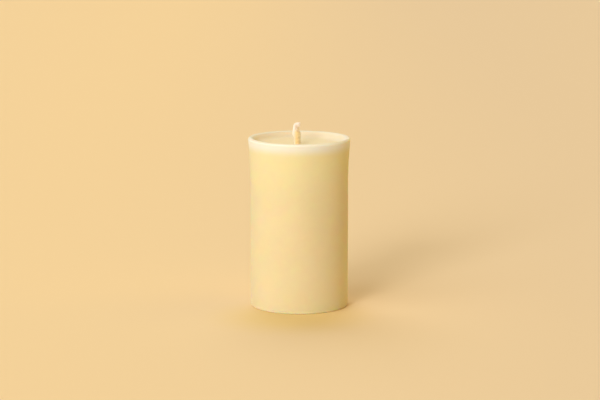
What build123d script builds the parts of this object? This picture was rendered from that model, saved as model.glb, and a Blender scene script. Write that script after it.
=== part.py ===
"""Plain pillar candle: a cast wax body round a cored, braided and primed cotton wick.

Millimetres, +Z up. The origin is the centre of the base, on the surface that the candle stands on.
The wick's last strand bulges out towards -X and hooks over towards +X.
"""

from build123d import *

import math
import os

# ---- wax body: a straight side, curving out to a rounded rim round a dished top ----
BODY_DIAMETER = 73.0
PILLAR_HEIGHT = 127.0  # from the base to the crest of the rim
RIM_FLARE = 1.75  # how far the side has curved out at the crest's height, before the rim is rounded
FLARE_HEIGHT = 34.0  # the stretch below the crest over which the side curves out
RIM_ROUND = 1.5  # outer round of the rim
RIM_LAND = 0.3  # flat crest between the rim's two rounds
LIP_ROUND = 4.0  # inner round of the rim
DISH_WALL_DEPTH = 4.2  # from the crest down to the edge of the dish's floor
DISH_WALL_ANGLE = 40.0  # degrees below level
DISH_FALL = 2.2  # further fall of the floor from its edge to the wick
DISH_BLEND = 10.0  # hollow round between the dish's wall and floor
BASE_ROUND = 1.5  # round of the bottom edge

# ---- wick: core yarn, braided sheath, primer wax ----
WICK_OFFSET = -1.5  # where the wick stands along X, a little off the axis
CORE_DIAMETER = 1.6
BRAID_DIAMETER = 4.4
PRIMER_THICKNESS = 0.3  # wax skin on the primed length of the braid
PRIMER_REACH = 11.5  # how far the primer runs up above the dish's centre
BRAID_REACH = 12.9  # how far the braid runs up above the dish's centre
CORE_REACH = 13.4  # how far the core yarn runs up above the dish's centre

# ---- last strand of the braid, which hooks over the cut end ----
STRAND_DIAMETER = 2.0
STRAND_ROOT = 6.0  # where the strand leaves the braid, below the braid's cut end
STRAND_BULGE = 1.6  # how far its middle stands out beyond where it leaves the braid
STRAND_RISE = 4.1  # height of the hook's centre line above the braid's cut end
HOOK_REACH = 3.6  # level length of the hook
STRAND_BEND = 1.3  # bend radius of the strand

# ---- sustainer: a stamped steel tab, its collar crimped on the wick's lower end ----
TAB_DIAMETER = 20.0
TAB_THICKNESS = 0.4
TAB_STANDOFF = 0.8  # the tab sits this far above the surface that the wax rests on
TAB_CLEARANCE = 0.15  # round the tab's edge, in its seat
COLLAR_WALL = 0.4
COLLAR_HEIGHT = 6.0  # above the tab
CRIMP_DEPTH = 0.25  # how far the crimping jaws flatten the collar, on two sides
CRIMP_HEIGHT = 2.4


# ---- sizes that follow from the ones above ----
BODY_RADIUS = BODY_DIAMETER / 2
RIM_RADIUS = BODY_RADIUS + RIM_FLARE
LIP_REACH = LIP_ROUND * math.tan(math.radians(DISH_WALL_ANGLE / 2))
DISH_MOUTH_RADIUS = RIM_RADIUS - RIM_ROUND - RIM_LAND - LIP_REACH
DISH_EDGE_RADIUS = DISH_MOUTH_RADIUS - DISH_WALL_DEPTH / math.tan(math.radians(DISH_WALL_ANGLE))
DISH_EDGE_Z = PILLAR_HEIGHT - DISH_WALL_DEPTH
DISH_CENTRE_Z = DISH_EDGE_Z - DISH_FALL
BRAID_TOP_Z = DISH_CENTRE_Z + BRAID_REACH
PRIMER_DIAMETER = BRAID_DIAMETER + 2 * PRIMER_THICKNESS
TAB_TOP_Z = TAB_STANDOFF + TAB_THICKNESS
COLLAR_DIAMETER = BRAID_DIAMETER + 2 * COLLAR_WALL
COLLAR_TOP_Z = TAB_TOP_Z + COLLAR_HEIGHT


def corner(face, x, z):
    """The corner of a flat section that lies at (x, z)."""
    return face.vertices().sort_by_distance((x, 0, z))[0]


def upright(diameter, low, high):
    """A round bar on the wick's line, between two heights."""
    base = Pos(WICK_OFFSET, 0, low)
    return base * Cylinder(diameter / 2, high - low, align=(Align.CENTER, Align.CENTER, Align.MIN))


def make_strand():
    """The braid's last strand: out of the sheath, up past its cut end and over it."""
    root_x = WICK_OFFSET - (BRAID_DIAMETER - STRAND_DIAMETER) / 2
    bulge_x = root_x - STRAND_BULGE
    root_z = BRAID_TOP_Z - STRAND_ROOT
    hook_z = BRAID_TOP_Z + STRAND_RISE
    line = FilletPolyline(
        (root_x, 0, root_z),
        (root_x, 0, root_z + STRAND_BEND),
        (bulge_x, 0, BRAID_TOP_Z - STRAND_ROOT / 2),
        (root_x, 0, BRAID_TOP_Z),
        (root_x, 0, hook_z),
        (root_x + HOOK_REACH, 0, hook_z),
        radius=STRAND_BEND,
    )
    return sweep(Plane(origin=line @ 0, z_dir=line % 0) * Circle(STRAND_DIAMETER / 2), path=line)


def make_wax_pillar():
    """The cast body, turned from its half section, with the tab's seat and the wick's bore."""
    flare_start_z = PILLAR_HEIGHT - FLARE_HEIGHT
    flare = TangentArc((BODY_RADIUS, 0, flare_start_z), (RIM_RADIUS, 0, PILLAR_HEIGHT), tangent=(0, 0, 1))
    below = Polyline((0, 0, DISH_CENTRE_Z), (0, 0, 0), (BODY_RADIUS, 0, 0), (BODY_RADIUS, 0, flare_start_z))
    above = Polyline(
        (RIM_RADIUS, 0, PILLAR_HEIGHT),
        (DISH_MOUTH_RADIUS, 0, PILLAR_HEIGHT),
        (DISH_EDGE_RADIUS, 0, DISH_EDGE_Z),
        (0, 0, DISH_CENTRE_Z),
    )
    section = make_face([*below.edges(), *flare.edges(), *above.edges()])
    section = fillet(corner(section, BODY_RADIUS, 0), BASE_ROUND)
    section = fillet(corner(section, RIM_RADIUS, PILLAR_HEIGHT), RIM_ROUND)
    section = fillet(corner(section, DISH_MOUTH_RADIUS, PILLAR_HEIGHT), LIP_ROUND)
    section = fillet(corner(section, DISH_EDGE_RADIUS, DISH_EDGE_Z), DISH_BLEND)
    body = revolve(section, Axis.Z)
    seat = upright(TAB_DIAMETER + 2 * TAB_CLEARANCE, 0, TAB_TOP_Z)
    pocket = upright(COLLAR_DIAMETER, 0, COLLAR_TOP_Z)
    bore = upright(PRIMER_DIAMETER, 0, PILLAR_HEIGHT)
    return body - seat - pocket - bore


def make_wick_core():
    """The core yarn, from the tab's underside to just above the braid's cut end."""
    return upright(CORE_DIAMETER, TAB_STANDOFF, DISH_CENTRE_Z + CORE_REACH)


def make_wick_braid():
    """The braided sheath, with its last strand drawn out and hooked over."""
    sheath = upright(BRAID_DIAMETER, TAB_STANDOFF, BRAID_TOP_Z)
    return sheath + make_strand() - make_wick_core()


def make_wick_primer():
    """The skin of primer wax on the braid, from the collar up to the bare tip."""
    skin = upright(PRIMER_DIAMETER, COLLAR_TOP_Z, DISH_CENTRE_Z + PRIMER_REACH)
    return skin - make_wick_braid() - make_wick_core()


def make_wick_sustainer():
    """The tab and its collar in one stamping, the collar flattened by the crimp."""
    tab = upright(TAB_DIAMETER, TAB_STANDOFF, TAB_TOP_Z)
    collar = upright(COLLAR_DIAMETER, TAB_TOP_Z, COLLAR_TOP_Z)
    jaw_z = (TAB_TOP_Z + COLLAR_TOP_Z) / 2
    jaw = Box(COLLAR_DIAMETER, CRIMP_DEPTH, CRIMP_HEIGHT, align=(Align.CENTER, Align.MAX, Align.CENTER))
    for side in (0, 180):
        collar -= Pos(WICK_OFFSET, 0, jaw_z) * Rot(0, 0, side) * Pos(0, COLLAR_DIAMETER / 2, 0) * jaw
    return tab + collar - upright(BRAID_DIAMETER, TAB_STANDOFF, COLLAR_TOP_Z)


PARTS = {
    "wax_pillar": make_wax_pillar,
    "wick_core": make_wick_core,
    "wick_braid": make_wick_braid,
    "wick_primer": make_wick_primer,
    "wick_sustainer": make_wick_sustainer,
}

os.makedirs("parts", exist_ok=True)
for name, make in PARTS.items():
    export_step(make(), f"parts/{name}.step")
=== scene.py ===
"""The looks of a plain pillar candle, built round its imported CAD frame. Metres, +Z up.

The wax body, the primed and braided wick and its sustainer stand where the frame's boxes say.
"""

import math
import random

import bmesh
import bpy
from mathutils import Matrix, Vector, noise


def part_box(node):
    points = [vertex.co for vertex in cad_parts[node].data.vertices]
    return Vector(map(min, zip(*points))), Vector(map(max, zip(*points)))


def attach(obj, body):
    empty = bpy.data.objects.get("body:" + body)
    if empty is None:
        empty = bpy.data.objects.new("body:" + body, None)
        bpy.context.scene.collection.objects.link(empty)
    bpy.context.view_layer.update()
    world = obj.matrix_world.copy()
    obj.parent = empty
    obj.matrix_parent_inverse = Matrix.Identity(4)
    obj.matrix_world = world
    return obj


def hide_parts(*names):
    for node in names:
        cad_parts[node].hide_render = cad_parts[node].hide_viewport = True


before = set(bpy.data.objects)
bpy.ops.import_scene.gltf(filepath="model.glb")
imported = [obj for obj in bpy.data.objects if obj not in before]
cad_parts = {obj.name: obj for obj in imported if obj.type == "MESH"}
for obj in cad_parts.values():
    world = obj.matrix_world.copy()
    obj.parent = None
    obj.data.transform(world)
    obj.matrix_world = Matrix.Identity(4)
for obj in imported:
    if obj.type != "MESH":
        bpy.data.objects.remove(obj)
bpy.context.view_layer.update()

MM = 0.001

# ---- sizes read from the frame ----
pillar_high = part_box("wax_pillar")[1]
braid_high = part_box("wick_braid")[1]
core_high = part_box("wick_core")[1]
primer_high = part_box("wick_primer")[1]
tab_low, tab_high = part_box("wick_sustainer")

HEIGHT = pillar_high.z
WICK_X = (tab_low.x + tab_high.x) / 2
TAB_RADIUS = (tab_high.x - tab_low.x) / 2
BRAID_RADIUS = braid_high.y
CORE_RADIUS = core_high.y
CORE_TOP = core_high.z
PRIMER_RADIUS = primer_high.y
PRIMER_TOP = primer_high.z
COLLAR_TOP = tab_high.z
TAB_BOTTOM = tab_low.z

# ---- sizes that the boxes don't give, as in the CAD ----
BODY_RADIUS = 36.5 * MM
RIM_FLARE = 1.75 * MM
FLARE_HEIGHT = 34 * MM
RIM_ROUND = 1.5 * MM
RIM_LAND = 0.3 * MM
LIP_ROUND = 4.0 * MM
DISH_WALL_DEPTH = 4.2 * MM
DISH_WALL_ANGLE = math.radians(40)
DISH_FALL = 2.2 * MM
DISH_BLEND = 10 * MM
BASE_ROUND = 1.5 * MM
TAB_THICKNESS = 0.4 * MM
TAB_CLEARANCE = 0.15 * MM
COLLAR_WALL = 0.4 * MM
CORE_BARE = 0.5 * MM  # how far the core yarn runs up above the braid's cut end

# ---- places that follow from them ----
RIM_CORNER = BODY_RADIUS + RIM_FLARE
DISH_MOUTH = RIM_CORNER - RIM_ROUND - RIM_LAND - LIP_ROUND * math.tan(DISH_WALL_ANGLE / 2)
DISH_EDGE = DISH_MOUTH - DISH_WALL_DEPTH / math.tan(DISH_WALL_ANGLE)
DISH_EDGE_Z = HEIGHT - DISH_WALL_DEPTH
DISH_CENTRE_Z = DISH_EDGE_Z - DISH_FALL
BRAID_TOP = CORE_TOP - CORE_BARE
TAB_TOP = TAB_BOTTOM + TAB_THICKNESS
SEAT_RADIUS = TAB_RADIUS + TAB_CLEARANCE
COLLAR_RADIUS = BRAID_RADIUS + COLLAR_WALL

# ---- how finely the wax is cut ----
ARC_STEP = 0.35 * MM  # between points on the section's rounds
LONGEST_RUN = 2.2 * MM  # between its other points
FLARE_STEPS = 24
WAX_SEGMENTS = 192  # round the axis

# ---- the wax's hand-poured shape ----
SEAT_ROUND = 0.3 * MM  # of the edge round the tab's seat
RIPPLE_WIDTH = 1.9 * MM
RIPPLE_REACH = 16 * MM  # over which the ripples round the wick die away
MENISCUS_HEIGHT = 1.1 * MM  # how far the wax climbs the wick
MENISCUS_WIDTH = 1.1 * MM

# ---- the braid ----
BRAID_PITCH = 11.5 * MM
BUNDLE_RADIUS = 1.46 * MM  # of the circle that the bundles' centre lines keep to
BUNDLE_WEAVE = 0.27 * MM  # how far a bundle goes out and in as it crosses the others
BUNDLE_WIDTH = 1.5 * MM
BUNDLE_THICKNESS = 0.74 * MM
BUNDLE_STEP = 0.5 * MM  # between a bundle's rings
CROSSING_HALF_WIDTH = 0.26  # of a bundle where it stands up under the primer, in radians round the braid
CROSSING_HALF_LENGTH = 0.62  # in the same radians
DRY_FROM = BRAID_TOP - 1.1 * MM  # the cotton is soaked in wax below this height
DRY_OVER = 1.6 * MM  # and dry this far above it
PEEL_Z = BRAID_TOP - 6.2 * MM  # where the last strand leaves the braid
GOLDEN_ANGLE = math.radians(137.5)  # from each yarn to the next, so that they fill their bundle evenly


def add_object(name, mesh):
    """Links a finished mesh to the scene with smooth faces."""
    for face in mesh.polygons:
        face.use_smooth = True
    piece = bpy.data.objects.new(name, mesh)
    bpy.context.scene.collection.objects.link(piece)
    return piece


def finished(name, made):
    """Turns what was made in a bmesh into an object in the scene."""
    mesh = bpy.data.meshes.new(name)
    made.to_mesh(mesh)
    made.free()
    return add_object(name, mesh)


def bridge(made, low, high):
    """Faces between two rings of as many vertices."""
    count = len(low)
    for k in range(count):
        near = (k + 1) % count
        made.faces.new((low[k], low[near], high[near], high[k]))


def smooth_step(t):
    """0 below 0, 1 above 1, and smooth between."""
    t = min(1.0, max(0.0, t))
    return t * t * (3 - 2 * t)


# ---------------------------------------------------------------- wax body


def rounded(corners, arc_step):
    """A polyline of (x, z, radius) corners as points, with each corner rounded by a tangent arc."""
    points = []
    count = len(corners)
    for i, (x, z, radius) in enumerate(corners):
        here = Vector((x, z))
        if radius == 0:
            points.append(here)
            continue
        before = (Vector(corners[i - 1][:2]) - here).normalized()
        after = (Vector(corners[(i + 1) % count][:2]) - here).normalized()
        opening = before.angle(after)
        turn = math.pi - opening
        reach = radius * math.tan(turn / 2)
        centre = here + (before + after).normalized() * (radius / math.sin(opening / 2))
        start = here + before * reach - centre
        sweep = (here + after * reach - centre).angle_signed(start)
        steps = max(3, round(radius * turn / arc_step))
        for k in range(steps + 1):
            angle = sweep * k / steps
            spun = Vector((start.x * math.cos(angle) - start.y * math.sin(angle),
                           start.x * math.sin(angle) + start.y * math.cos(angle)))
            points.append(centre + spun)
    return points


def filled(points, longest):
    """The closed polyline with its long runs cut into pieces no longer than `longest`."""
    out = []
    for here, there in zip(points, points[1:] + points[:1]):
        pieces = max(1, math.ceil((there - here).length / longest))
        out += [here.lerp(there, k / pieces) for k in range(pieces)]
    return out


def wax_section():
    """The closed half section of the wax, from the bore's top out over the rim and back under the base.

    The flare's points stop below the rim's outer round.
    """
    flare_radius = (FLARE_HEIGHT**2 + RIM_FLARE**2) / (2 * RIM_FLARE)
    flare = [(RIM_CORNER, HEIGHT, RIM_ROUND)]
    top_rise = FLARE_HEIGHT - 1.2 * RIM_ROUND
    for k in range(FLARE_STEPS, -1, -1):
        rise = top_rise * k / FLARE_STEPS
        out = flare_radius - math.sqrt(flare_radius**2 - rise**2)
        flare.append((BODY_RADIUS + out, HEIGHT - FLARE_HEIGHT + rise, 0))
    corners = [
        (PRIMER_RADIUS, DISH_CENTRE_Z, 0),
        (DISH_EDGE, DISH_EDGE_Z, DISH_BLEND),
        (DISH_MOUTH, HEIGHT, LIP_ROUND),
        *flare,
        (BODY_RADIUS, 0, BASE_ROUND),
        (SEAT_RADIUS, 0, SEAT_ROUND),
        (SEAT_RADIUS, TAB_TOP, 0),
        (COLLAR_RADIUS, TAB_TOP, 0),
        (COLLAR_RADIUS, COLLAR_TOP, 0),
        (PRIMER_RADIUS, COLLAR_TOP, 0),
    ]
    return filled(rounded(corners, ARC_STEP), LONGEST_RUN)


def wax_relief(spot, radius, z):
    """How far hand-poured wax strays from its turned shape, as (outward, upward).

    The side wanders slowly. The dish is uneven, ripples round the wick and climbs it.
    """
    slow = noise.noise(spot * 22)
    slower = noise.noise(spot * 9 + Vector((3, 1, 7)))
    outward = (0.05 * slow + 0.1 * slower) * MM
    upward = 0.0
    if z > DISH_CENTRE_Z - 1 * MM and radius < DISH_MOUTH + 2 * MM:
        ripple = math.sin(radius / RIPPLE_WIDTH) * math.exp(-radius / RIPPLE_REACH)
        upward = (0.22 * noise.noise(spot * 60) + 0.28 * slower + 0.08 * ripple) * MM
        upward += MENISCUS_HEIGHT * math.exp(-(radius - PRIMER_RADIUS) / MENISCUS_WIDTH)
    elif z > HEIGHT - 6 * MM:
        upward = 0.25 * slower * MM
    return outward, upward


def make_wax_body():
    """The wax, turned from its section. Rings near the wick are centred on it, and outer ones on the axis.

    The base, the seat, the pocket and the bore keep their turned shape.
    """
    section = wax_section()
    mesh = bpy.data.meshes.new("wax_body")
    vertices = []
    for radius, z in section:
        centre_x = WICK_X * (1 - smooth_step((radius - TAB_RADIUS - 0.5 * MM) / (8 * MM)))
        hollow = z < DISH_CENTRE_Z - 1 * MM and radius < TAB_RADIUS + 1 * MM
        as_turned = hollow or z < 0.1 * MM
        for k in range(WAX_SEGMENTS):
            angle = 2 * math.pi * k / WAX_SEGMENTS
            spot = Vector((math.cos(angle) * radius, math.sin(angle) * radius, z))
            outward, upward = (0.0, 0.0) if as_turned else wax_relief(spot, radius, z)
            reach = (radius + outward) / radius
            vertices.append((centre_x + spot.x * reach, spot.y * reach, z + upward))
    faces = []
    for ring in range(len(section)):
        low = ring * WAX_SEGMENTS
        high = (ring + 1) % len(section) * WAX_SEGMENTS
        for k in range(WAX_SEGMENTS):
            near = (k + 1) % WAX_SEGMENTS
            faces.append((low + k, high + k, high + near, low + near))
    mesh.from_pydata(vertices, [], faces)
    mesh.validate()
    return add_object("wax_body", mesh)


# ---------------------------------------------------------------- wick


def tubes(name, paths, around, ridge=0.0, ridges=5, ridge_twist=1.1):
    """Closed tubes along paths of (point, out, width, thickness, dryness), in one mesh.

    Width lies across the path and thickness along `out`. Around is how many corners a tube has.
    Ridges wind round it like plied yarns.
    Dryness, 0 for soaked in wax and 1 for bare cotton, is kept for the material.
    """
    made = bmesh.new()
    dry_layer = made.verts.layers.float.new("dry")
    for path in paths:
        rings = []
        travelled = 0.0
        for i, (point, out, width, thickness, dry) in enumerate(path):
            behind = path[max(i - 1, 0)][0]
            ahead = path[min(i + 1, len(path) - 1)][0]
            travelled += (point - behind).length / MM
            heading = (ahead - behind).normalized()
            across = heading.cross(out).normalized()
            up = across.cross(heading)
            ring = []
            for k in range(around):
                angle = 2 * math.pi * k / around
                swell = 1 + ridge * math.cos(ridges * angle + travelled * ridge_twist)
                offset = across * (math.cos(angle) * width / 2) + up * (math.sin(angle) * thickness / 2)
                vertex = made.verts.new(point + offset * swell)
                vertex[dry_layer] = dry
                ring.append(vertex)
            rings.append(ring)
        for low, high in zip(rings, rings[1:]):
            bridge(made, low, high)
        made.faces.new(rings[0][::-1])
        made.faces.new(rings[-1])
    bmesh.ops.recalc_face_normals(made, faces=made.faces)
    return finished(name, made)


def bundle_point(z, way, number):
    """Where a bundle's centre line is at height z, and its outward direction there.

    Way, 1 or -1, is the way it winds, and number counts the four that wind the same way.
    """
    turned = 2 * math.pi * (z - PEEL_Z) / BRAID_PITCH
    angle = math.pi + way * turned + number * math.pi / 2
    radius = BUNDLE_RADIUS + way * BUNDLE_WEAVE * math.cos(4 * turned)
    out = Vector((math.cos(angle), math.sin(angle), 0))
    return Vector((WICK_X, 0, z)) + out * radius, out


def bundle_path(way, number, top):
    """A bundle of yarns in the braid, from the tab's underside up to its top."""
    count = math.ceil((top - TAB_BOTTOM) / BUNDLE_STEP)
    path = []
    for k in range(count + 1):
        z = TAB_BOTTOM + (top - TAB_BOTTOM) * k / count
        point, out = bundle_point(z, way, number)
        path.append((point, out, BUNDLE_WIDTH, BUNDLE_THICKNESS, dryness(z)))
    return path


def dryness(z):
    """How dry the cotton is at height z: soaked in wax up to just below the cut end."""
    return smooth_step((z - DRY_FROM) / DRY_OVER)


def smooth_line(points, steps):
    """Points along a Catmull-Rom curve through the given ones, with so many steps between two of them."""
    line = []
    ends = [points[0] * 2 - points[1], *points, points[-1] * 2 - points[-2]]
    for a, b, c, d in zip(ends, ends[1:], ends[2:], ends[3:]):
        for k in range(steps):
            t = k / steps
            curve = 2 * b + (c - a) * t + (2 * a - 5 * b + 4 * c - d) * t**2 + (3 * b - a - 3 * c + d) * t**3
            line.append(curve / 2)
    return [*line, points[-1]]


def yarn_paths(line, out, yarns, spread, twist, dry_from, dry_to, ends):
    """Yarns laid side by side in a bundle along a line, twisted together, that come apart at its end.

    Spread(t) is the bundle's radius at a share t of its length, and twist is in radians per mm. The
    yarns' dryness goes from dry_from to dry_to. Ends is the share of the length over which they stop.
    """
    paths = []
    length = sum((b - a).length for a, b in zip(line, line[1:]))
    for number in range(yarns):
        end = 1 - ends * random.random()
        phase = GOLDEN_ANGLE * number
        place = math.sqrt((number + 0.5) / yarns)
        size = random.uniform(2.0, 2.6) / math.sqrt(yarns)
        drift = Vector((random.uniform(-1, 1), random.uniform(-1, 1), random.uniform(-0.6, 1)))
        path = []
        travelled = 0.0
        for i, point in enumerate(line):
            if i:
                travelled += (point - line[i - 1]).length
            t = travelled / length
            if t > end and len(path) > 3:
                break
            heading = (line[min(i + 1, len(line) - 1)] - line[max(i - 1, 0)]).normalized()
            across = heading.cross(out).normalized()
            up = across.cross(heading)
            angle = phase + twist * travelled / MM
            side = across * math.cos(angle) + up * math.sin(angle)
            radius = spread(t)
            loose = drift * (0.22 * MM * smooth_step((t - 0.85) / 0.15))
            taper = 1 - 0.65 * smooth_step((t - end + 0.05) / 0.05)
            dry = dry_from + (dry_to - dry_from) * smooth_step(t * 2.5)
            thickness = size * radius * taper
            path.append((point + side * (place * radius) + loose, side, thickness, thickness, dry))
        paths.append(path)
    return paths


def make_braid():
    """Eight bundles of yarn, four each way, woven over and under. Two of them peel off near the top."""
    bundles = []
    frayed = []
    for way, number in ((w, n) for w in (1, -1) for n in range(4)):
        if number == 0:
            bundles.append(bundle_path(way, number, PEEL_Z + 0.3 * MM))
            continue
        top = BRAID_TOP + random.uniform(-1.0, -0.3) * MM
        bundles.append(bundle_path(way, number, top))
        line = [bundle_point(top + (k - 4) * 0.3 * MM, way, number)[0] for k in range(8)]
        out = bundle_point(top, way, number)[1]
        splayed = [p + out * (0.03 * MM * max(0, k - 3) ** 1.5) for k, p in enumerate(line)]
        frayed += yarn_paths(
            smooth_line(splayed, 3),
            out,
            yarns=26,
            spread=lambda t: (0.58 + 0.14 * t) * MM,
            twist=0.5,
            dry_from=0.2,
            dry_to=0.95 if out.x > 0.2 else 0.4,
            ends=0.3,
        )
    braid = tubes("wick_braid_bundles", bundles, around=14, ridge=0.07)
    return braid, tubes("wick_cut_ends", frayed, around=7)


def make_hooked_strand():
    """The two bundles that peel off to -X, loosened into yarns, and hook over the cut end.

    Their free points are in millimetres from the axis and from where they peel off.
    """
    outer_points = [
        (-3.60, -0.50, 1.2),
        (-4.10, -0.60, 2.8),
        (-3.95, -0.55, 4.4),
        (-3.60, -0.45, 6.0),
        (-3.45, -0.40, 7.4),
        (-3.25, -0.35, 8.6),
        (-2.55, -0.35, 9.5),
        (-1.45, -0.35, 9.85),
        (-0.20, -0.35, 9.85),
        (0.95, -0.35, 9.70),
    ]
    inner_points = [
        (-2.95, 0.55, 1.2),
        (-3.05, 0.62, 2.8),
        (-2.95, 0.55, 4.4),
        (-2.75, 0.45, 6.0),
        (-2.60, 0.35, 7.2),
        (-2.20, 0.30, 8.2),
        (-1.40, 0.30, 8.75),
        (-0.40, 0.30, 8.85),
        (0.85, 0.30, 8.75),
    ]
    paths = []
    for way, points in ((1, outer_points), (-1, inner_points)):
        start = [bundle_point(PEEL_Z + k * 0.6 * MM, way, 0)[0] for k in (-2, -1, 0)]
        free = [Vector((x * MM, y * MM, PEEL_Z + z * MM)) for x, y, z in points]
        line = smooth_line(start + free, 6)
        paths += yarn_paths(
            line,
            Vector((0, -1, 0)),
            yarns=44,
            spread=lambda t: (0.62 + 0.42 * smooth_step(t * 4)) * MM,
            twist=0.35,
            dry_from=0.3,
            dry_to=1.0,
            ends=0.06,
        )
    return tubes("wick_hooked_strand", paths, around=7)


def make_core_yarn():
    """The plied core, which ends just above the braid's cut end."""
    count = 60
    width = 1.86 * CORE_RADIUS  # its ridges take up the rest
    path = []
    for k in range(count + 1):
        z = TAB_BOTTOM + (CORE_TOP - TAB_BOTTOM) * k / count
        path.append((Vector((WICK_X, 0, z)), Vector((1, 0, 0)), width, width, dryness(z)))
    return tubes("wick_core_yarn", [path], around=18, ridge=0.07, ridges=3, ridge_twist=1.6)


def make_fibres(strand):
    """Short loose fibres that stand off the dry cotton."""
    paths = []
    dry_values = strand.data.attributes["dry"].data
    roots = [v for v in strand.data.vertices if dry_values[v.index].value > 0.5]
    for root in random.sample(roots, 170):
        normal = root.normal.copy()
        lean = Vector((random.uniform(-1, 1), random.uniform(-1, 1), random.uniform(-1, 1)))
        length = random.uniform(0.35, 1.0) * MM
        line = [root.co + normal * (length * t) + lean * (0.55 * length * t * t) for t in (0, 0.35, 0.7, 1)]
        size = random.uniform(0.04, 0.065) * MM
        sizes = [size * (1 - 0.22 * i) for i in range(len(line))]
        out = normal.orthogonal()
        paths.append([(point, out, thin, thin, 1.0) for point, thin in zip(line, sizes)])
    return tubes("wick_fibres", paths, around=4)


def weave_height(angle, z):
    """How far the weave stands up under the primer, 0 in its valleys and 1 on its bundles."""
    quarter = math.pi / 2
    turned = 2 * math.pi * (z - PEEL_Z) / BRAID_PITCH
    height = 0.0
    for way, shift in ((1, 0.0), (-1, quarter / 2)):
        a = angle - shift
        b = turned - shift
        a -= quarter * round(a / quarter)
        b -= quarter * round(b / quarter)
        along = (b + way * a) / 2
        across = (a - way * b) / 2
        fade = (across / CROSSING_HALF_WIDTH) ** 4 + (along / CROSSING_HALF_LENGTH) ** 4
        height = max(height, math.exp(-fade))
    return height


def make_primer_skin():
    """The skin of primer wax. It follows the weave out in the open, and fills the bore below."""
    around = 120
    open_z = DISH_CENTRE_Z - 1.5 * MM
    inner_radius = BUNDLE_RADIUS + BUNDLE_WEAVE + BUNDLE_THICKNESS / 2 + 0.02 * MM
    heights = [COLLAR_TOP + (open_z - COLLAR_TOP) * k / 24 for k in range(24)]
    heights += [open_z + (PRIMER_TOP - open_z) * k / 56 for k in range(57)]
    made = bmesh.new()
    outer, inner = [], []
    for z in heights:
        outer.append([])
        inner.append([])
        shown = smooth_step((z - open_z) / (1.2 * MM))
        for k in range(around):
            angle = 2 * math.pi * k / around
            uneven = noise.noise(Vector((math.cos(angle), math.sin(angle), 2)) * 1.7)
            edge = PRIMER_TOP - (0.6 + 0.5 * math.cos(angle) + 0.5 * uneven) * MM
            here = min(z, edge + (z - PRIMER_TOP) * 0.02)
            thin = smooth_step((edge - here) / (1.5 * MM))
            skin = PRIMER_RADIUS - shown * MM * 0.34 * (1 - weave_height(angle, here)) * (0.6 + 0.4 * thin)
            skin += shown * MM * 0.05 * noise.noise(Vector((angle * 3, here * 900, 0)))
            if z == heights[-1]:
                skin = inner_radius + 0.04 * MM
            for rings, radius in ((outer, skin), (inner, inner_radius)):
                place = (WICK_X + math.cos(angle) * radius, math.sin(angle) * radius, here)
                rings[-1].append(made.verts.new(place))
    loop = outer + inner[::-1]
    for low, high in zip(loop, loop[1:] + loop[:1]):
        bridge(made, low, high)
    return finished("wick_primer_skin", made)


# ---------------------------------------------------------------- materials

WAX_PALE = (0.757, 0.645, 0.374)
WAX_DEEP = (0.742, 0.630, 0.362)
WAX_BLOOM = (0.78, 0.67, 0.40)
# painted light: the upper body's brighter tone, for light coming in through the top
WAX_TOP_LIT = (0.80, 0.73, 0.39)
# painted glow: the rim's whiter band stands in for light passing through the thin lip
WAX_RIM_GLOW = (0.795, 0.775, 0.665)
# painted shade: dims the highlight on the rim's crest
WAX_CREST_SHADED = (0.745, 0.66, 0.46)
# painted shade on the dish's floor, darker and more yellow, and painted light on its paler wall
WAX_DISH_SHADED = (0.79, 0.615, 0.325)
WAX_DISH_WALL_LIT = (0.815, 0.69, 0.45)
# painted light: the pale foot lifts the shade under the base round
WAX_FOOT_LIT = (0.96, 0.83, 0.56)
WAX_REACH = (1.0, 0.5, 0.16)
WAX_RIM_REACH = (1.0, 0.85, 0.6)
WAX_DEPTH = 10 * MM
WAX_RIM_DEPTH = 4.5 * MM
PRIMER_YELLOW = (0.84, 0.635, 0.28)
PRIMER_AMBER = (0.86, 0.60, 0.25)
# painted light on the primer's side towards the key
PRIMER_KEY_LIT = (0.97, 0.80, 0.58)
PRIMER_PALE = (0.96, 0.83, 0.55)
COTTON_WHITE = (1.0, 0.88, 0.74)
COTTON_SHADE = (0.98, 0.84, 0.68)
# painted light and shade: a warm, slightly darker patch on the paper in front of the candle
PAINTED_GLOW_CENTRE = (-6 * MM, -42 * MM)
PAPER_PAINTED_GLOW = (0.835, 0.60, 0.25)
# painted light: the paper is lighter at the left, towards the key, and darker at the right
PAPER_LEFT = (0.885, 0.650, 0.338)
PAPER_RIGHT = (0.778, 0.585, 0.346)
TIN_DARK = (0.60, 0.60, 0.585)
TIN_PALE = (0.72, 0.72, 0.70)


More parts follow.
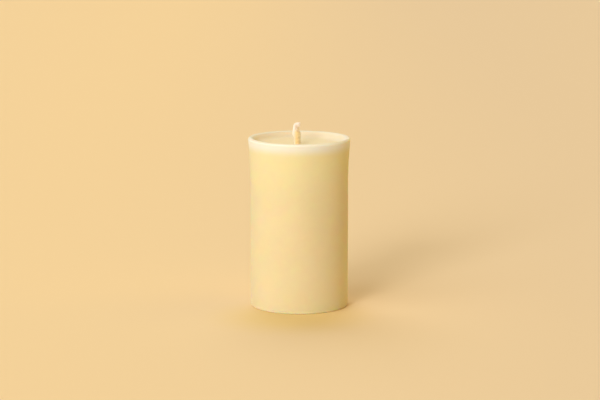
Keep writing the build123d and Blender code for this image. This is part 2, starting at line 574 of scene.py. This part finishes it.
class Nodes:
    """A node tree, with short calls for what the materials and the world share."""

    def __init__(self, owner):
        self.tree = owner.node_tree
        place = "Object" if isinstance(owner, bpy.types.Material) else "Generated"
        self.place = self.tree.nodes.new("ShaderNodeTexCoord").outputs[place]

    def link(self, source, socket):
        """Joins an output to an input."""
        self.tree.links.new(source, socket)

    def noise(self, scale, detail=3.0, roughness=0.5, stretch=None):
        """Noise over the object's own place, in features per metre. Stretch scales each axis."""
        node = self.tree.nodes.new("ShaderNodeTexNoise")
        node.inputs["Scale"].default_value = scale
        node.inputs["Detail"].default_value = detail
        node.inputs["Roughness"].default_value = roughness
        place = self.place
        if stretch:
            mapping = self.tree.nodes.new("ShaderNodeMapping")
            mapping.inputs["Scale"].default_value = stretch
            self.link(self.place, mapping.inputs["Vector"])
            place = mapping.outputs["Vector"]
        self.link(place, node.inputs["Vector"])
        return node.outputs["Fac"]

    def span(self, value, low_in, high_in, low_out, high_out):
        """Maps a value from one range to another, smoothly and clamped."""
        node = self.tree.nodes.new("ShaderNodeMapRange")
        node.interpolation_type = "SMOOTHSTEP"
        ends = {"From Min": low_in, "From Max": high_in, "To Min": low_out, "To Max": high_out}
        for socket, number in ends.items():
            node.inputs[socket].default_value = number
        self.link(value, node.inputs["Value"])
        return node.outputs["Result"]

    def blend(self, factor, first, second):
        """Mixes two colours, each given as a colour or a socket. The node's colours are 6, 7 and out at 2."""
        node = self.tree.nodes.new("ShaderNodeMix")
        node.data_type = "RGBA"
        self.link(factor, node.inputs["Factor"])
        for socket, colour in ((node.inputs[6], first), (node.inputs[7], second)):
            if isinstance(colour, bpy.types.NodeSocket):
                self.link(colour, socket)
            else:
                socket.default_value = (*colour, 1)
        return node.outputs[2]

    def axis(self, name):
        """One coordinate of the place."""
        node = self.tree.nodes.new("ShaderNodeSeparateXYZ")
        self.link(self.place, node.inputs[0])
        return node.outputs[name]

    def across(self, centre=(0, 0)):
        """Level distance from a point on the floor, by itself the candle's axis."""
        flat = self.tree.nodes.new("ShaderNodeVectorMath")
        flat.operation = "MULTIPLY"
        flat.inputs[1].default_value = (1, 1, 0)
        self.link(self.place, flat.inputs[0])
        node = self.tree.nodes.new("ShaderNodeVectorMath")
        node.operation = "DISTANCE"
        node.inputs[1].default_value = (*centre, 0)
        self.link(flat.outputs["Vector"], node.inputs[0])
        return node.outputs["Value"]

    def times(self, first, second):
        """Two values multiplied."""
        node = self.tree.nodes.new("ShaderNodeMath")
        node.operation = "MULTIPLY"
        self.link(first, node.inputs[0])
        self.link(second, node.inputs[1])
        return node.outputs["Value"]

    def attribute(self, name):
        """A value kept on the mesh."""
        node = self.tree.nodes.new("ShaderNodeAttribute")
        node.attribute_name = name
        return node.outputs["Fac"]

    def bump(self, height, strength, distance, under=None):
        """A bumped normal, laid over another one where it is given."""
        node = self.tree.nodes.new("ShaderNodeBump")
        node.inputs["Strength"].default_value = strength
        node.inputs["Distance"].default_value = distance
        self.link(height, node.inputs["Height"])
        if under:
            self.link(under, node.inputs["Normal"])
        return node.outputs["Normal"]


class Material(Nodes):
    """A material, whose nodes end in one Principled shader."""

    def __init__(self, name):
        self.material = bpy.data.materials.new(name)
        self.material.use_nodes = True
        super().__init__(self.material)
        self.shader = self.tree.nodes["Principled BSDF"]

    def set(self, **values):
        """Sets or links the shader's inputs, with _ for the spaces in their names."""
        for name, value in values.items():
            socket = self.shader.inputs[name.replace("_", " ")]
            if isinstance(value, bpy.types.NodeSocket):
                self.link(value, socket)
            else:
                socket.default_value = value


def below_crest(n, start, end, most=1):
    """Grows with height from 0 to `most` between two depths below the rim's crest."""
    return n.span(n.axis("Z"), HEIGHT - start, HEIGHT - end, 0, most)


def wax_colour(n):
    """The wax's colour: faintly clouded, with painted light and shade: brighter towards the top, paler at its
    foot over the shade under the base round, more yellow and darker on the dish's floor, paler on the dish's
    wall, whiter at the rim with a painted glow, and dimmed on the crest.
    """
    across = n.across()
    cloud = n.noise(28, detail=4)
    bloom = n.noise(260, detail=5, roughness=0.6)
    base = n.blend(n.span(cloud, 0.35, 0.65, 0, 1), WAX_DEEP, WAX_PALE)
    base = n.blend(n.span(bloom, 0.55, 0.8, 0, 0.25), base, WAX_BLOOM)
    # Painted light: the upper body is painted brighter towards the rim.
    base = n.blend(below_crest(n, 50 * MM, 12 * MM, 0.6), base, WAX_TOP_LIT)
    # Painted light: the foot's round is painted pale, over the shade beneath it.
    base = n.blend(n.span(n.axis("Z"), 0.3 * MM, 2 * MM, 1, 0), base, WAX_FOOT_LIT)
    near_rim = below_crest(n, 10.5 * MM, 3 * MM)
    # Painted shade and light in the dish: its floor is painted darker and more yellow, its wall paler.
    in_dish = n.times(near_rim, n.span(across, BODY_RADIUS - 1 * MM, BODY_RADIUS, 1, 0))
    wall = n.span(across, DISH_EDGE - 6 * MM, DISH_MOUTH, 0, 1)
    base = n.blend(in_dish, base, n.blend(wall, WAX_DISH_SHADED, WAX_DISH_WALL_LIT))
    # Painted light: a whiter glowing band round the rim.
    rim = n.times(near_rim, n.span(across, DISH_MOUTH, BODY_RADIUS + 1.2 * MM, 0, 1))
    base = n.blend(rim, base, WAX_RIM_GLOW)
    # Painted shade: the crest is painted darker, dimming its highlight.
    return n.blend(below_crest(n, 1.1 * MM, 0.2 * MM), base, WAX_CREST_SHADED)


def wax_material():
    """Pale ivory wax, satin with the faintest bloom. Light travels deep in it, red the furthest.

    It travels less far in the milkier rim, at the foot and beside the wick.
    """
    n = Material("wax")
    rough = n.span(n.noise(90, detail=4), 0.3, 0.7, 0.52, 0.62)
    fine = n.noise(1400, detail=4, roughness=0.65)
    soft = n.noise(70, detail=2)
    normal = n.bump(fine, 0.10, 0.06 * MM, n.bump(soft, 0.25, 0.25 * MM))
    n.set(Base_Color=wax_colour(n), Roughness=rough, Normal=normal)
    n.set(IOR=1.44, Specular_IOR_Level=0.22)
    milky = below_crest(n, 16 * MM, 4 * MM)
    n.set(Subsurface_Weight=1.0, Subsurface_Radius=n.blend(milky, WAX_REACH, WAX_RIM_REACH))
    deep = n.span(milky, 0, 1, WAX_DEPTH, WAX_RIM_DEPTH)
    by_foot = n.span(n.axis("Z"), 0, 6 * MM, 0.45, 1)
    by_wick = n.span(n.across((WICK_X, 0)), PRIMER_RADIUS, PRIMER_RADIUS + 7 * MM, 0.06, 1)
    n.set(Subsurface_Scale=n.times(n.times(deep, by_foot), by_wick))
    return n.material


def primer_material():
    """The wax skin on the wick: warm yellow, with painted light making it paler at its sides, and the
    cotton's threads under it.
    """
    n = Material("primer_wax")
    threads = n.noise(2600, detail=3, roughness=0.6, stretch=(1, 1, 0.25))
    patch = n.noise(320, detail=3)
    base = n.blend(n.span(patch, 0.35, 0.65, 0, 1), PRIMER_YELLOW, PRIMER_AMBER)
    base = n.blend(n.span(threads, 0.5, 0.8, 0, 0.45), base, PRIMER_PALE)
    # Painted light: the -X side, which faces the key, is painted paler.
    thin = n.span(n.axis("X"), WICK_X - PRIMER_RADIUS, WICK_X - 0.3 * PRIMER_RADIUS, 0.9, 0)
    base = n.blend(thin, base, PRIMER_KEY_LIT)
    # Painted light: the +X side, in the key's shade, is painted paler to lift its shade.
    right = n.span(n.axis("X"), WICK_X + 0.1 * PRIMER_RADIUS, WICK_X + PRIMER_RADIUS, 0, 0.9)
    base = n.blend(right, base, PRIMER_PALE)
    normal = n.bump(threads, 0.35, 0.12 * MM)
    n.set(Base_Color=base, Roughness=n.span(patch, 0.3, 0.7, 0.34, 0.48), Normal=normal)
    n.set(Subsurface_Weight=0.5, Subsurface_Radius=(1.0, 0.95, 0.9), Subsurface_Scale=0.25 * MM)
    return n.material


def cotton_material():
    """Bleached cotton where it is dry, and yellow with wax where it is soaked."""
    n = Material("wick_cotton")
    threads = n.noise(5200, detail=3, roughness=0.6, stretch=(1, 1, 0.3))
    dry_cotton = n.blend(n.span(threads, 0.35, 0.7, 0, 1), COTTON_SHADE, COTTON_WHITE)
    soaked = n.blend(n.span(threads, 0.35, 0.7, 0, 1), PRIMER_AMBER, PRIMER_PALE)
    dry = n.attribute("dry")
    n.set(Base_Color=n.blend(dry, soaked, dry_cotton), Roughness=n.span(dry, 0, 1, 0.45, 0.85))
    n.set(Normal=n.bump(threads, 0.5, 0.08 * MM))
    n.set(Sheen_Weight=0.3, Sheen_Roughness=0.5)
    return n.material


def tin_material():
    """Tin-plated steel with faint rolling lines and a little spangle."""
    n = Material("tinned_steel")
    lines = n.noise(900, detail=3, stretch=(1, 0.04, 1))
    spangle = n.noise(420, detail=2)
    base = n.blend(n.span(spangle, 0.3, 0.7, 0, 1), TIN_DARK, TIN_PALE)
    n.set(Base_Color=base, Metallic=1.0, Roughness=n.span(lines, 0.3, 0.7, 0.26, 0.42))
    n.set(Normal=n.bump(lines, 0.15, 0.02 * MM))
    return n.material


def paper_material():
    """Matt peach background paper, with painted light: lighter to the left and darker to the right, and a
    painted warm, slightly darker patch in front of the candle for the light that comes through the wax.
    """
    n = Material("backdrop_paper")
    # Painted light: lighter to the left and darker to the right across the paper.
    base = n.blend(n.span(n.axis("X"), -0.3, 0.35, 0, 1), PAPER_LEFT, PAPER_RIGHT)
    # Painted light and shade: a warm, slightly darker patch in front of the candle, for light through the
    # wax.
    glow = n.span(n.across(PAINTED_GLOW_CENTRE), 15 * MM, 72 * MM, 1, 0)
    base = n.blend(glow, base, PAPER_PAINTED_GLOW)
    n.set(Base_Color=base, Roughness=0.95, Specular_IOR_Level=0.1)
    n.set(Normal=n.bump(n.noise(1500, detail=3), 0.05, 0.05 * MM))
    return n.material


def paint(piece, material):
    """Gives a piece one material. A CAD node keeps its mesh."""
    if not piece.material_slots:
        piece.data.materials.append(material)
    for slot in piece.material_slots:
        slot.material = material


# ---------------------------------------------------------------- studio

WHITE = (0.97, 1.0, 1.11)
WARM = (1.17, 0.97, 0.42)
PANELS = [  # name, strength, colour, azimuth, elevation and spread in degrees
    ("key_panel", 0.57 * math.pi, WHITE, -24, 20, 22),
    ("side_panel", 0.23 * math.pi, WHITE, -45, 50, 45),
    ("back_panel", 0.37 * math.pi, WHITE, -168, 50, 45),
    ("right_panel", 0.12 * math.pi, WARM, 90, 60, 45),
]
ROOM_OVERHEAD = (0.10, 0.10, 0.10)
ROOM_HORIZON = (0.84, 0.62, 0.335)
ROOM_BEHIND_LEFT = (0.28, 0.26, 0.24)
ROOM_BEHIND_RIGHT = (1.04, 0.69, 0.06)
ROOM_FRONT_LEFT = (0.67, 0.65, 0.51)
ROOM_FRONT_RIGHT = (0.06, 0.05, 0.05)
LAMP_DISTANCE = 3.0
FLOOR_RADIUS = 40
CAMERA_PLACE = (0.0005, -1.655, 0.3615)
CAMERA_TILT = 9.665  # degrees below level
CAMERA_LENS = 134.6


def make_floor():
    """A wide round floor of background paper."""
    made = bmesh.new()
    bmesh.ops.create_circle(made, cap_ends=True, radius=FLOOR_RADIUS, segments=64)
    floor = finished("floor", made)
    paint(floor, paper_material())


def add_panel(name, strength, colour, azimuth, elevation, spread):
    """A broad lamp that points at the candle. Azimuth 0 is the camera's side, positive to its right."""
    data = bpy.data.lights.new(name, "SUN")
    data.energy = strength
    data.color = colour
    data.angle = math.radians(spread)
    lamp = bpy.data.objects.new(name, data)
    bpy.context.scene.collection.objects.link(lamp)
    a, e = math.radians(azimuth), math.radians(elevation)
    back = Vector((math.sin(a) * math.cos(e), -math.cos(a) * math.cos(e), math.sin(e)))
    lamp.location = Vector((0, 0, HEIGHT / 2)) + back * LAMP_DISTANCE
    lamp.rotation_mode = "QUATERNION"
    lamp.rotation_quaternion = (-back).to_track_quat("-Z", "Y")


def light_studio():
    """A key from the left front and three broad high panels round the candle, in a warm room."""
    for panel in PANELS:
        add_panel(*panel)
    world = bpy.data.worlds.new("room")
    bpy.context.scene.world = world
    world.use_nodes = True
    n = Nodes(world)
    to_right = n.span(n.axis("X"), -0.3, 0.3, 0, 1)
    behind = n.blend(to_right, ROOM_BEHIND_LEFT, ROOM_BEHIND_RIGHT)
    front = n.blend(to_right, ROOM_FRONT_LEFT, ROOM_FRONT_RIGHT)
    low = n.blend(n.span(n.axis("Y"), -0.3, 0.3, 0, 1), front, behind)
    low = n.blend(n.span(n.axis("Z"), 0.05, 0.15, 0, 1), ROOM_HORIZON, low)
    overhead = n.span(n.axis("Z"), 0.45, 0.85, 0, 1)
    background = world.node_tree.nodes["Background"]
    n.link(n.blend(overhead, low, ROOM_OVERHEAD), background.inputs["Color"])


def add_camera():
    """The long lens, a little above the rim, looking gently down."""
    data = bpy.data.cameras.new("camera")
    data.sensor_width = 36
    data.lens = CAMERA_LENS
    data.clip_end = 100
    camera = bpy.data.objects.new("camera", data)
    camera.location = CAMERA_PLACE
    camera.rotation_euler = (math.radians(90 - CAMERA_TILT), 0, 0)
    bpy.context.scene.collection.objects.link(camera)
    bpy.context.scene.camera = camera


# ---------------------------------------------------------------- the candle

random.seed(7)

wax_body = make_wax_body()
paint(wax_body, wax_material())
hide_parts("wax_pillar")

cotton = cotton_material()
bundles, cut_ends = make_braid()
hooked = make_hooked_strand()
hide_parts("wick_braid")
core_yarn = make_core_yarn()
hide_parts("wick_core")
fibres = make_fibres(hooked)
for cotton_piece in (bundles, cut_ends, hooked, core_yarn, fibres):
    paint(cotton_piece, cotton)

primer = make_primer_skin()
paint(primer, primer_material())
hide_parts("wick_primer")

paint(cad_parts["wick_sustainer"], tin_material())

for made_piece in (wax_body, bundles, cut_ends, hooked, core_yarn, fibres, primer):
    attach(made_piece, "root")

make_floor()
light_studio()
add_camera()
bpy.context.scene.view_settings.view_transform = "Standard"
